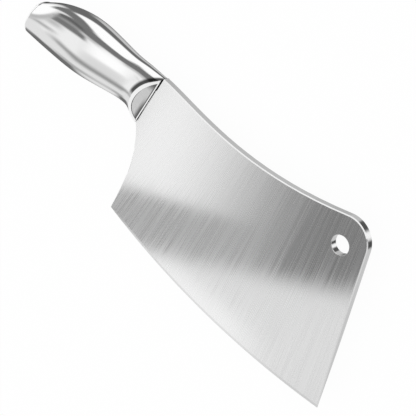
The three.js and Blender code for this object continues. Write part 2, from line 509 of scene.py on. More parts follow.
@dataclass
class EndCap:
    """Rounded plug that closes the butt."""

    form: HandleForm
    clearance: float = 0.25
    spigot: float = 8
    round_steps: int = 5
    pole_shares: tuple[float, ...] = (0.6, 0.25)
    rim_reach: float = 0.01

    def build(self) -> bpy.types.Object:
        """Model the dome, its pole and the spigot inside the skin.

        Returns:
            The cap, in the leaning frame.
        """
        seam = self.form.ring(self.form.seam)
        dome = self.dome(seam)
        piece = self.form.tube("butt_cap", dome)
        self.close_pole(piece, dome[-1])
        Bench.close(piece, WELD)
        Bench.refine(piece)
        self.add_spigot(piece, seam)
        Bench.close(piece, WELD)
        return piece

    def dome(self, seam: Ring) -> list[Ring]:
        """Work out the rings of the rounded rim.

        Args:
            seam: Ring where the cap meets the skin.

        Returns:
            The rings from the seam to the flat of the butt.
        """
        depth = self.form.cap_thickness
        rings = []
        for i in range(self.round_steps + 1):
            turn = math.pi / 2 * i / self.round_steps
            shift = self.form.along(-depth * math.sin(turn))
            rings.append(seam.drawn_in(depth * (1 - math.cos(turn)), shift))
        return rings

    def close_pole(self, piece: bpy.types.Object, flat: Ring) -> None:
        """Draw the flat of the butt together to a point.

        Args:
            piece: Open dome.
            flat: Its last ring.
        """
        limit = flat.x + self.rim_reach
        ring = flat
        with Bench.edit(piece):
            Bench.pick_edges(piece, lambda edge: edge.is_boundary and edge.verts[0].co.x < limit)
            for share in self.pole_shares:
                smaller = Ring(flat.x, flat.y, flat.half_height * share, flat.half_width * share)
                self.form.pull(ring, smaller)
                ring = smaller
            bpy.ops.mesh.merge(type="CENTER")

    def add_spigot(self, piece: bpy.types.Object, seam: Ring) -> None:
        """Step the open rim in by the skin's wall and pull it forwards.

        Args:
            piece: Dome, closed at its pole.
            seam: Ring at its open rim.
        """
        inner = seam.drawn_in(self.form.wall + self.clearance)
        end = inner.drawn_in(0, self.form.along(self.spigot))
        with Bench.edit(piece):
            Bench.pick_edges(piece, lambda edge: edge.is_boundary)
            self.form.pull(seam, inner)
            self.form.pull(inner, end)
            bpy.ops.mesh.edge_face_add()


@dataclass
class Bolster:
    """Solid block that fills the handle's mouth, slotted for the tang."""

    form: HandleForm
    length: float = 24
    gap: float = 0.25
    slot_length: float = 17.25
    slot_height: float = 18.5
    slot_width: float = 4.9
    recess: float = 0.1

    def build(self) -> bpy.types.Object:
        """Model the block, its two crescent facets and the slot.

        Returns:
            The bolster, in the leaning frame.
        """
        front = self.form.joint.x
        inset = self.form.wall + self.gap
        rings = self.form.rings(front - self.length, front + self.form.overrun)
        piece = self.form.tube("mouth_block", [ring.drawn_in(inset) for ring in rings])
        Bench.close(piece, WELD)
        Bench.refine(piece)
        with Bench.edit(piece):
            Bench.pick_edges(piece, lambda edge: edge.is_boundary)
            bpy.ops.mesh.fill_holes(sides=0)
        Bench.close(piece, WELD)
        Bench.cut(piece, ORIGIN, FORWARD)
        for side in Side:
            at, away = self.form.facet_plane(side)
            Bench.cut(piece, at - away * self.recess, away)
        Bench.carve(piece, self.slot_tool(), "DIFFERENCE")
        Bench.close(piece, WELD)
        return piece

    def slot_tool(self) -> bpy.types.Object:
        """Make the block that the tang's slot is cut with.

        Returns:
            The block, in the leaning frame and half outside the bolster.
        """
        Bench.clear()
        bpy.ops.mesh.primitive_cube_add(size=1)
        tool = bpy.context.object
        size = Matrix.Diagonal((2 * self.slot_length, self.slot_height, self.slot_width, 1))
        tool.matrix_world = Matrix.Rotation(self.form.lean, 4, "Z") @ size
        Bench.apply_place()
        return tool


@dataclass
class Blade:
    """Ground plate with its hanging hole and tang."""

    form: HandleForm
    thickness: float = 4.4
    edge_thickness: float = 0.4
    bevel_height: float = 1.8
    bevel_thickness: float = 1.1
    grind_height: float = 68
    grind_steps: int = 8
    edge_radius: float = 462
    edge_depth: float = 91.4
    edge_lowest_x: float = 112
    tip_x: float = 167.3
    heel_x: float = -6.4
    heel_bow: Vector = Vector((5.4, -34, 0))
    bow_share: float = 2 / 3
    front_lean: float = 6.4
    corner_x: float = 154.75
    corner_radius: float = 13.5
    spine_slope: float = 14.3
    spine_sag: Vector = Vector((71.8, 2.7, 0))
    spine_crest: Vector = Vector((32, 17.5, 0))
    hole_diameter: float = 10.4
    hole: Vector = Vector((142.1, 3.3, 0))
    tang_length: float = 17
    tang_height: float = 18
    clearance: float = 0.25
    margin: float = 10
    spin_steps: int = 90
    curve_steps: int = 20
    rim_break: float = 0.5
    rim_start: float = -1
    side_upright: float = 0.9
    hole_round: float = 0.4
    hole_segments: int = 12

    @property
    def arc_centre(self) -> Vector:
        """Centre of the cutting edge's sweep."""
        return Vector((self.edge_lowest_x, self.edge_radius - self.edge_depth, 0))

    def edge_y(self, x: float) -> float:
        """Return the height of the cutting edge at X."""
        centre = self.arc_centre
        return centre.y - math.sqrt(self.edge_radius**2 - (x - centre.x) ** 2)

    def build(self) -> bpy.types.Object:
        """Spin the ground blank, trim it to the outline and break its rims.

        Returns:
            The blade, in the drawing frame.
        """
        piece = self.ground_blank()
        Bench.carve(piece, self.outline_plate(), "INTERSECT")
        Bench.close(piece, TRIM_WELD)
        self.break_rims(piece)
        return piece

    def ground_blank(self) -> bpy.types.Object:
        """Spin the blade's cross-section about the middle of the edge's sweep.

        Returns:
            A sector larger than the outline, tapered to the edge.
        """
        reach = 2 * self.grind_height
        radius = self.edge_radius
        Bench.clear()
        bpy.ops.mesh.primitive_plane_add(size=1, rotation=(0, math.pi / 2, 0))
        piece = bpy.context.object
        piece.name = piece.data.name = "ground_plate"
        piece.scale = (self.thickness, reach, 1)
        Bench.apply_place()
        with Bench.edit(piece):
            bpy.ops.transform.translate(value=(0, reach / 2 - radius, 0))
        for side in Side:
            for height, width, fall in self.grind_facets():
                with Bench.edit(piece):
                    bpy.ops.mesh.bisect(
                        plane_co=(0, height - radius, side.value * width),
                        plane_no=(0, -fall, side.value),
                        clear_outer=True,
                    )
        inner = radius - reach
        from_angle = math.asin((self.arc_centre.x + self.tang_length + self.margin) / inner)
        to_angle = math.asin((self.tip_x + self.margin - self.arc_centre.x) / inner)
        piece.rotation_euler.z = -from_angle
        Bench.apply_place()
        with Bench.edit(piece):
            bpy.ops.mesh.spin(
                steps=self.spin_steps, angle=from_angle + to_angle, center=(0, 0, 0), axis=(0, 0, -1)
            )
        piece.location = self.arc_centre
        Bench.focus(piece)
        Bench.apply_place()
        Bench.close(piece, WELD)
        return piece

    def grind_facets(self) -> list[tuple[float, float, float]]:
        """Work out the narrow facets that make up one side's grind, with the edge's own bevel last.

        Returns:
            For each facet a height above the edge, the half thickness there and its slope.
        """
        start, end = self.grind_height, self.bevel_height
        fall = self.thickness / 2 - self.bevel_thickness / 2
        facets = []
        for i in range(self.grind_steps):
            share = (i + 0.5) / self.grind_steps
            height = start + (end - start) * share
            slope = 2 * fall * share / (start - end)
            facets.append((height, self.thickness / 2 - fall * share**2, slope))
        edge_slope = (self.bevel_thickness - self.edge_thickness) / 2 / self.bevel_height
        return [*facets, (0.0, self.edge_thickness / 2, edge_slope)]

    def outline_plate(self) -> bpy.types.Object:
        """Draw the side view as a curve with its hole and make it a thick plate.

        Returns:
            The plate that the ground blank is trimmed with.
        """
        Bench.clear()
        bpy.ops.curve.primitive_bezier_circle_add(radius=self.hole_diameter / 2, location=self.hole)
        Bench.apply_place()
        drawing = bpy.context.object
        drawing.data.dimensions = "2D"
        drawing.data.fill_mode = "BOTH"
        drawing.data.extrude = self.thickness
        drawing.data.resolution_u = self.curve_steps
        corners = self.outline_corners()
        spline = drawing.data.splines.new("BEZIER")
        spline.bezier_points.add(len(corners) - 1)
        spline.use_cyclic_u = True
        for point, (place, before, after) in zip(spline.bezier_points, corners):
            point.handle_left_type = point.handle_right_type = "FREE"
            point.co, point.handle_left, point.handle_right = place, before, after
        Bench.focus(drawing)
        bpy.ops.object.convert(target="MESH")
        plate = bpy.context.object
        Bench.close(plate, CUT_WELD)
        return plate

    def outline_corners(self) -> list[Corner]:
        """Work out the side view's corners.

        Returns:
            For each corner its place and the two handles of the curve there.
        """
        low = -self.edge_depth - self.margin
        tip = Vector((self.tip_x, self.edge_y(self.tip_x), 0))
        run = math.tan(math.radians(self.front_lean)) * (low - tip.y)
        front_low = Vector((tip.x - run, low, 0))
        heel_low = Vector((self.heel_x, low, 0))
        heel = Vector((self.heel_x, self.edge_y(self.heel_x), 0))
        top, *tang, bottom = self.shoulder_places()
        return [
            (heel_low, heel_low, heel_low),
            (front_low, front_low, front_low),
            *self.rounded_corner(tip),
            (top, self.spine_crest, top),
            *((place, place, place) for place in tang),
            (bottom, bottom, bottom.lerp(self.heel_bow, self.bow_share)),
            (heel, heel.lerp(self.heel_bow, self.bow_share), heel),
        ]

    def rounded_corner(self, tip: Vector) -> list[Corner]:
        """Work out the arc between the front edge and the spine.

        Args:
            tip: Lowest point of the front edge.

        Returns:
            The arc's end on the front edge, its middle and its end on the spine.
        """
        lean, slope = math.radians(self.front_lean), math.radians(self.spine_slope)
        corner = Vector((self.corner_x, tip.y + (self.tip_x - self.corner_x) / math.tan(lean), 0))
        along_spine = Vector((math.cos(slope), math.sin(slope), 0))
        along_front = Vector((math.sin(lean), -math.cos(lean), 0))
        turn = along_spine.angle(along_front)
        setback = self.corner_radius * math.tan(turn / 2)
        spine_end = corner - along_spine * setback
        front_end = corner + along_front * setback
        centre = spine_end + Vector((along_spine.y, -along_spine.x, 0)) * self.corner_radius
        crown = centre + (corner - centre).normalized() * self.corner_radius
        chord = (along_spine + along_front).normalized()
        # Length of a curve's handles that makes it follow half of the arc.
        grip = self.corner_radius * 4 / 3 * math.tan(turn / 8)
        return [
            (front_end, front_end, front_end - along_front * grip),
            (crown, crown + chord * grip, crown - chord * grip),
            (spine_end, spine_end + along_spine * grip, self.spine_sag),
        ]

    def shoulder_places(self) -> list[Vector]:
        """Work out where the plate meets the handle.

        Returns:
            The top of the leaning shoulder, the tang's four corners and the shoulder's bottom.
        """
        shoulder = self.form.joint.x + self.clearance / math.cos(self.form.lean)
        middle, half = self.form.joint.y, self.tang_height / 2
        rear = self.form.joint.x - self.tang_length

        def on_shoulder(y: float) -> Vector:
            """Return the shoulder's place at a height."""
            return Vector((self.form.slanted_x(shoulder, y), y, 0))

        return [
            on_shoulder(self.form.height_at("top", self.form.joint.x)),
            on_shoulder(middle + half),
            Vector((rear, middle + half, 0)),
            Vector((rear, middle - half, 0)),
            on_shoulder(middle - half),
            on_shoulder(self.form.height_at("bottom", self.form.joint.x)),
        ]

    def break_rims(self, piece: bpy.types.Object) -> None:
        """Chamfer the plate's outer rims and round the hole's, but leave the cutting edge.

        Args:
            piece: Trimmed plate.
        """
        thin = self.bevel_thickness / 2
        rear = self.form.joint.x + self.rim_start

        def on_rim(edge: bmesh.types.BMEdge) -> bool:
            """Tell whether an edge parts a flat side from a wall ahead of the handle.

            Args:
                edge: Edge of the plate.

            Returns:
                Whether it lies on a rim.
            """
            if len(edge.link_faces) != 2 or min(abs(v.co.z) for v in edge.verts) < thin:
                return False
            sides = sum(abs(face.normal.z) > self.side_upright for face in edge.link_faces)
            return sides == 1 and max(v.co.x for v in edge.verts) >= rear

        def in_hole(edge: bmesh.types.BMEdge) -> bool:
            """Tell whether an edge lies on the hole's own rim."""
            reach = max((vertex.co - self.hole).xy.length for vertex in edge.verts)
            return on_rim(edge) and reach < self.hole_diameter

        with Bench.edit(piece):
            Bench.pick_edges(piece, lambda edge: on_rim(edge) and not in_hole(edge))
            bpy.ops.mesh.bevel(
                offset=self.rim_break, segments=1, affect="EDGES", clamp_overlap=False
            )
            Bench.pick_edges(piece, in_hole)
            bpy.ops.mesh.bevel(
                offset=self.hole_round,
                segments=self.hole_segments,
                affect="EDGES",
                clamp_overlap=False,
            )


class Wiring:
    """Adds and links the nodes of one tree."""

    def __init__(self, tree: bpy.types.NodeTree) -> None:
        """Start on a tree with nothing in it."""
        self.tree = tree
        self.tree.nodes.clear()

    def node(self, kind: str, **settings: object) -> bpy.types.Node:
        """Add a node and set its options.

        Args:
            kind: Type of the node.
            settings: Options of the node, by name.

        Returns:
            The node.
        """
        made = self.tree.nodes.new(kind)
        for name, value in settings.items():
            setattr(made, name, value)
        return made

    def feed(self, socket: bpy.types.NodeSocket, value: Value | Sequence[float]) -> None:
        """Link another socket to this one, or set its own value.

        Args:
            socket: Input to feed.
            value: Output to link, or a plain value.
        """
        if isinstance(value, bpy.types.NodeSocket):
            self.tree.links.new(value, socket)
        else:
            socket.default_value = value

    def math(self, operation: str, *values: Value) -> bpy.types.NodeSocket:
        """Add a Math node.

        Args:
            operation: What it works out.
            values: Its inputs in order.

        Returns:
            The result.
        """
        made = self.node("ShaderNodeMath", operation=operation)
        for socket, value in zip(made.inputs, values):
            self.feed(socket, value)
        return made.outputs[0]

    def result(
        self, kind: str, given: dict[str, Value | Sequence[float]], **settings: object
    ) -> bpy.types.NodeSocket:
        """Add a node, feed its inputs and take its result.

        Args:
            kind: Type of the node.
            given: What its inputs are fed, by name.
            settings: Options of the node, by name.

        Returns:
            The node's first output.
        """
        made = self.node(kind, **settings)
        for name, value in given.items():
            self.feed(made.inputs[name], value)
        return made.outputs[0]

    def step(self, value: Value, low: Value, high: Value) -> bpy.types.NodeSocket:
        """Return a soft step of a value, 0 at low and 1 at high, which may lie above or below."""
        given = {"Value": value, "From Min": low, "From Max": high}
        return self.result("ShaderNodeMapRange", given, interpolation_type="SMOOTHSTEP")

    def overlap(self, *masks: Value) -> Value:
        """Return the product of masks, which is 1 where all of them are."""
        return reduce(lambda first, second: self.math("MULTIPLY", first, second), masks)

    def scale(self, value: Value, low: float, high: float) -> bpy.types.NodeSocket:
        """Return a value spread out, to low where it is 0 and high where it is 1."""
        return self.result("ShaderNodeMapRange", {"Value": value, "To Min": low, "To Max": high})

    def mix(self, share: Value, first: Value, second: Value) -> bpy.types.NodeSocket:
        """Return the number between first, at a share of 0, and second, at 1."""
        given = {"Factor": share, "A": first, "B": second}
        return self.result("ShaderNodeMix", given, data_type="FLOAT")

    def noise(self, place: Value, detail: float, rough: float) -> bpy.types.NodeSocket:
        """Return a noise of unit scale, with finer layers by their number and strength."""
        given = {"Vector": place, "Scale": 1.0, "Detail": detail, "Roughness": rough}
        return self.result("ShaderNodeTexNoise", given)

    def bump(self, height: Value, distance: float) -> bpy.types.NodeSocket:
        """Return the normal as tilted by a relief, whose depth is in metres."""
        return self.result("ShaderNodeBump", {"Height": height, "Distance": distance})

    def split(self, vector: bpy.types.NodeSocket) -> list[bpy.types.NodeSocket]:
        """Take a vector apart.

        Args:
            vector: Vector to split.

        Returns:
            Its three numbers.
        """
        made = self.node("ShaderNodeSeparateXYZ")
        self.feed(made.inputs[0], vector)
        return list(made.outputs)

    def join(self, x: Value, y: Value, z: Value) -> bpy.types.NodeSocket:
        """Return the vector that three numbers make."""
        return self.result("ShaderNodeCombineXYZ", {"X": x, "Y": y, "Z": z})

    def here(self) -> bpy.types.NodeSocket:
        """Return the place on the piece, in metres."""
        return self.node("ShaderNodeTexCoord").outputs["Object"]

    def mapped(self, scale: Sequence[float], turn: float) -> bpy.types.NodeSocket:
        """Return the place on the piece, turned about Z by degrees and scaled along each axis."""
        given = {"Vector": self.here(), "Rotation": (0, 0, math.radians(turn)), "Scale": scale}
        return self.result("ShaderNodeMapping", given)

    def grey(self, value: Value) -> bpy.types.NodeSocket:
        """Return the grey of a brightness."""
        return self.result("ShaderNodeCombineColor", {"Red": value, "Green": value, "Blue": value})

    def show(self, shader: bpy.types.NodeSocket, kind: str = "ShaderNodeOutputMaterial") -> None:
        """Show a shader through an output node."""
        self.feed(self.node(kind).inputs["Surface"], shader)

    def show_blend(self, share: Value, first: bpy.types.Node, second: bpy.types.Node) -> None:
        """Show a blend of two shaders.

        Args:
            share: Share of the second shader.
            first: Shader at 0.
            second: Shader at 1.
        """
        blend = self.node("ShaderNodeMixShader")
        for socket, given in zip(blend.inputs, (share, first.outputs[0], second.outputs[0])):
            self.feed(socket, given)
        self.show(blend.outputs[0])


def new_material(name: str) -> tuple[bpy.types.Material, Wiring]:
    """Make a material without any nodes.

    Args:
        name: Name of the material.

    Returns:
        The material and the wiring of its nodes.
    """
    made = bpy.data.materials.new(name)
    made.use_nodes = True
    return made, Wiring(made.node_tree)


def opaque_grey(level: float) -> tuple[float, float, float, float]:
    """Return the fixed colour of a brightness."""
    return level, level, level, 1.0


@dataclass(frozen=True)
class Finish:
    """A steel finish, whose grain runs through its roughness and its grey."""

    name: str = "steel"
    grey: float = 0.8
    grey_swing: float = 0.0
    roughness: Span = (0.1, 0.3)
    anisotropic: float = 0.0
    grain_scale: tuple[float, float, float] = (1000, 1000, 1000)
    grain_turn: float = 0
    grain_detail: float = 3
    grain_rough: float = 0.6

    def material(self) -> bpy.types.Material:
        """Make the material.

        Returns:
            The material with its nodes wired.
        """
        made, wiring = new_material(self.name)
        shader = wiring.node("ShaderNodeBsdfPrincipled")
        wiring.feed(shader.inputs["Metallic"], 1.0)
        wiring.feed(shader.inputs["Base Color"], opaque_grey(self.grey))
        wiring.feed(shader.inputs["Anisotropic"], self.anisotropic)
        self.dress(wiring, shader)
        wiring.show(shader.outputs[0])
        return made

    def dress(self, wiring: Wiring, shader: bpy.types.Node) -> None:
        """Wire the grain into roughness, and into the grey where it swings.

        Args:
            wiring: Nodes of the material.
            shader: Its shader.
        """
        grain = self.grain(wiring)
        wiring.feed(shader.inputs["Roughness"], wiring.scale(grain, *self.roughness))
        if self.grey_swing:
            wiring.feed(shader.inputs["Base Color"], wiring.grey(self.swung(wiring, grain)))

    def grain(self, wiring: Wiring) -> bpy.types.NodeSocket:
        """Return the finish's grain."""
        place = wiring.mapped(self.grain_scale, self.grain_turn)
        return wiring.noise(place, self.grain_detail, self.grain_rough)

    def swung(self, wiring: Wiring, grain: Value) -> bpy.types.NodeSocket:
        """Return the finish's grey, darker and lighter with a grain."""
        return wiring.scale(grain, self.grey - self.grey_swing, self.grey + self.grey_swing)


@dataclass(frozen=True)
class Streak:
    """One layer of brush lines: width and length against the main lines, and weight."""

    width: float
    length: float
    weight: float


@dataclass(frozen=True)
class BrushedPlate(Finish):
    """Plate brushed across its height, with lines that fan out from a point above the spine."""

    name: str = "brushed_plate_steel"
    grey: float = 0.865
    grey_swing: float = 0.025
    roughness: Span = (0.15, 0.42)
    anisotropic: float = 0.55
    fan_centre: Span = (0.110, 0.345)
    fan_radius: float = 0.345
    line_width: float = 0.0008
    line_length: float = 0.090
    side_shift: float = 300
    grain_detail: float = 1
    streaks: tuple[Streak, ...] = (Streak(1, 1, 0.5), Streak(1 / 3, 1 / 2, 0.3), Streak(3, 2, 0.2))
    contrast: Span = (0.3, 0.7)
    groove_depth: float = 0.00001

    def dress(self, wiring: Wiring, shader: bpy.types.Node) -> None:
        """Wire streaks of several widths into grey, roughness and bump.

        Args:
            wiring: Nodes of the material.
            shader: Its shader.
        """
        grain = self.grain(wiring)
        contrast = wiring.step(grain, *self.contrast)
        wiring.feed(shader.inputs["Base Color"], wiring.grey(self.swung(wiring, contrast)))
        wiring.feed(shader.inputs["Roughness"], wiring.scale(contrast, *self.roughness))
        wiring.feed(shader.inputs["Normal"], wiring.bump(grain, self.groove_depth))
        tangent = wiring.node("ShaderNodeTangent", direction_type="RADIAL", axis="Y")
        wiring.feed(shader.inputs["Tangent"], tangent.outputs[0])

    def grain(self, wiring: Wiring) -> bpy.types.NodeSocket:
        """Add up the layers of brush lines.

        Args:
            wiring: Nodes of the material.

        Returns:
            The brush lines, from 0 to 1.
        """
        x, y, z = wiring.split(wiring.here())
        across = wiring.math("SUBTRACT", x, self.fan_centre[0])
        down = wiring.math("SUBTRACT", self.fan_centre[1], y)
        turn = wiring.math("MULTIPLY", wiring.math("ARCTAN2", across, down), self.fan_radius)
        squares = wiring.math("MULTIPLY_ADD", across, across, wiring.math("MULTIPLY", down, down))
        reach = wiring.math("SQRT", squares)
        layer = wiring.math("MULTIPLY", z, self.side_shift)
        lines: Value = 0.0
        for streak in self.streaks:
            place = wiring.join(
                wiring.math("DIVIDE", turn, self.line_width * streak.width),
                wiring.math("DIVIDE", reach, self.line_length * streak.length),
                layer,
            )
            noise = wiring.noise(place, self.grain_detail, self.grain_rough)
            lines = wiring.math("MULTIPLY_ADD", noise, streak.weight, lines)
        return lines


@dataclass(frozen=True)
class PolishedRim(Finish):
    """Edges of the plate, with faint polishing lines across the thickness."""

    name: str = "polished_rim_steel"
    grey: float = 0.82
    grey_swing: float = 0.06
    roughness: Span = (0.08, 0.2)
    grain_scale: tuple[float, float, float] = (500, 500, 2500)


@dataclass(frozen=True)
class HonedBevel(Finish):
    """Narrow bevel along the cutting edge, honed across."""

    name: str = "honed_bevel_steel"
    grey: float = 0.75
    grey_swing: float = 0.08
    roughness: Span = (0.2, 0.4)
    grain_scale: tuple[float, float, float] = (4000, 300, 300)
    grain_detail: float = 2
    grain_rough: float = 0.5


@dataclass(frozen=True)
class PaintedJointShade(Finish):
    """Front of the bolster inside the joint, rough and blotchy, with the shade of the slit painted
    into its dark grey.
    """

    name: str = "joint_painted_shade_steel"
    # Painted shade: the slit between the bolster and the blade, painted near black.
    grey: float = 0.08
    roughness: Span = (0.45, 0.7)
    grain_scale: tuple[float, float, float] = (900, 900, 900)
    grain_rough: float = 0.5


@dataclass(frozen=True)
class JointPlace:
    """Where the joint lies in the row frame, for finishes whose painted shade, highlight and dark
    reflection lie near it.
    """

    joint: Vector
    lean: float

    def measure(self, wiring: Wiring) -> tuple[Value, Value, Value]:
        """Measure a place on the piece from the joint.

        Args:
            wiring: Nodes of the material.

        Returns:
            How far it lies ahead of, along and aside from the joint, in millimetres.
        """
        x, y, z = (
            wiring.math("DIVIDE", wiring.math("SUBTRACT", value, zero), MM)
            for value, zero in zip(wiring.split(wiring.here()), self.joint)
        )
        sine, cosine = math.sin(self.lean), math.cos(self.lean)
        ahead = wiring.math("MULTIPLY_ADD", x, cosine, wiring.math("MULTIPLY", y, -sine))
        along = wiring.math("MULTIPLY_ADD", y, cosine, wiring.math("MULTIPLY", x, sine))
        return ahead, along, wiring.math("ABSOLUTE", z)


@dataclass(frozen=True, kw_only=True)
class MirrorSkin(Finish):
    """Handle skin polished to a mirror, with a soft ripple and a dark reflection painted into the
    hollow behind each crescent.
    """

    place: JointPlace
    form: HandleForm
    name: str = "mirror_skin_steel"
    grey: float = 0.92
    roughness: Span = (0.05, 0.11)
    grain_scale: tuple[float, float, float] = (2200, 120, 120)
    grain_turn: float = 62
    ripple_scale: tuple[float, float, float] = (60, 140, 140)
    ripple_turn: float = 15
    ripple_detail: float = 1
    ripple_rough: float = 0.5
    ripple_depth: float = 0.00002
    # Painted dark reflection: the grey of the hollow behind each crescent's rim, and its depths and
    # reach.
    hollow: float = 0.08
    painted_reflection_starts: Span = (0.05, 0.35)
    painted_reflection_ends: Span = (2.4, 1.2)
    painted_reflection_along: Span = (-4, 1)

    def dress(self, wiring: Wiring, shader: bpy.types.Node) -> None:
        """Wire buffing marks into roughness, a long ripple into bump and the painted dark reflection
        in the hollows into grey.

        Args:
            wiring: Nodes of the material.
            shader: Its shader.
        """
        # Paint the dark reflection of the hollows into the skin's grey.
        grey = wiring.mix(self.painted_reflection_mask(wiring), self.grey, self.hollow)
        wiring.feed(shader.inputs["Base Color"], wiring.grey(grey))
        wiring.feed(shader.inputs["Roughness"], wiring.scale(self.grain(wiring), *self.roughness))
        place = wiring.mapped(self.ripple_scale, self.ripple_turn)
        ripple = wiring.noise(place, self.ripple_detail, self.ripple_rough)
        wiring.feed(shader.inputs["Normal"], wiring.bump(ripple, self.ripple_depth))

    def painted_reflection_mask(self, wiring: Wiring) -> Value:
        """Mark where a dark reflection is painted into the hollow behind the upper half of a
        crescent's rim.

        Args:
            wiring: Nodes of the material.

        Returns:
            How far a place lies in the painted dark reflection, from 0 to 1.
        """
        ahead, along, aside = self.place.measure(wiring)
        angle = math.radians(self.form.facet_angle)
        inwards = wiring.math("SUBTRACT", self.form.lip_thickness / 2, aside)
        depth = wiring.math("MULTIPLY", inwards, math.cos(angle))
        depth = wiring.math("MULTIPLY_ADD", ahead, -math.sin(angle), depth)
        starts = wiring.step(depth, *self.painted_reflection_starts)
        ends = wiring.step(depth, *self.painted_reflection_ends)
        return wiring.overlap(starts, ends, wiring.step(along, *self.painted_reflection_along))


@dataclass(frozen=True, kw_only=True)
class SatinFacet(Finish):
    """Crescent facets, ground flat and rubbed to a satin, with painted shade at their ends and by the
    joint and a painted highlight along their front edge.
    """

    place: JointPlace
    name: str = "satin_facet_steel"
    grey: float = 0.6
    grey_swing: float = 0.05
    roughness: Span = (0.16, 0.3)
    grain_scale: tuple[float, float, float] = (1800, 250, 400)
    grain_turn: float = -20
    # Painted shade: the grey that the facet is darkened to at both ends, along the joint and in a thin
    # line by it.
    dark: float = 0.12
    shaded_low_end: Span = (-12, -18)
    shaded_low_end_lean: float = 0.5
    shaded_high_end: Span = (6, 12)
    shaded_border_ahead: Span = (-3.0, -0.8)
    shaded_border_along: Span = (4, -8)
    painted_shade_line: Span = (-1.1, -0.8)
    # Painted highlight: the near-white grey of a thin line along the facet's front edge.
    bright: float = 0.97
    painted_highlight_line: Span = (-0.55, -0.4)

    def dress(self, wiring: Wiring, shader: bpy.types.Node) -> None:
        """Wire short rubbing lines into roughness, and into the grey a painted shade towards the ends
        and the joint and a painted highlight line.

        Args:
            wiring: Nodes of the material.
            shader: Its shader.
        """
        grain = self.grain(wiring)
        wiring.feed(shader.inputs["Roughness"], wiring.scale(grain, *self.roughness))
        ahead, along, _ = self.place.measure(wiring)
        # Painted shade towards both ends of the facet, along the joint and in a thin line by it.
        lowness = wiring.math("MULTIPLY_ADD", ahead, self.shaded_low_end_lean, along)
        near_joint = wiring.step(ahead, *self.shaded_border_ahead)
        shade = wiring.step(ahead, *self.painted_shade_line)
        for mask in (
            wiring.step(lowness, *self.shaded_low_end),
            wiring.step(along, *self.shaded_high_end),
            wiring.overlap(near_joint, wiring.step(along, *self.shaded_border_along)),
        ):
            shade = wiring.math("MAXIMUM", shade, mask)
        grey = wiring.mix(shade, self.swung(wiring, grain), self.dark)
        # Painted highlight line along the facet's front edge.
        grey = wiring.mix(wiring.step(ahead, *self.painted_highlight_line), grey, self.bright)
        wiring.feed(shader.inputs["Base Color"], wiring.grey(grey))


class Turn(Enum):
    """Axis that a patch of the studio is measured round."""

    ALONG = "x"
    UPRIGHT = "z"


@dataclass(frozen=True)
class Patch:
    """Soft-edged patch of the studio that the steel mirrors, in degrees round an axis and above it."""

    level: float
    angle: Span
    rise: Span
    soft: float
    soft_rise: float
    slant: float = 0
    tilt: float = 0
    turn: Turn = Turn.ALONG


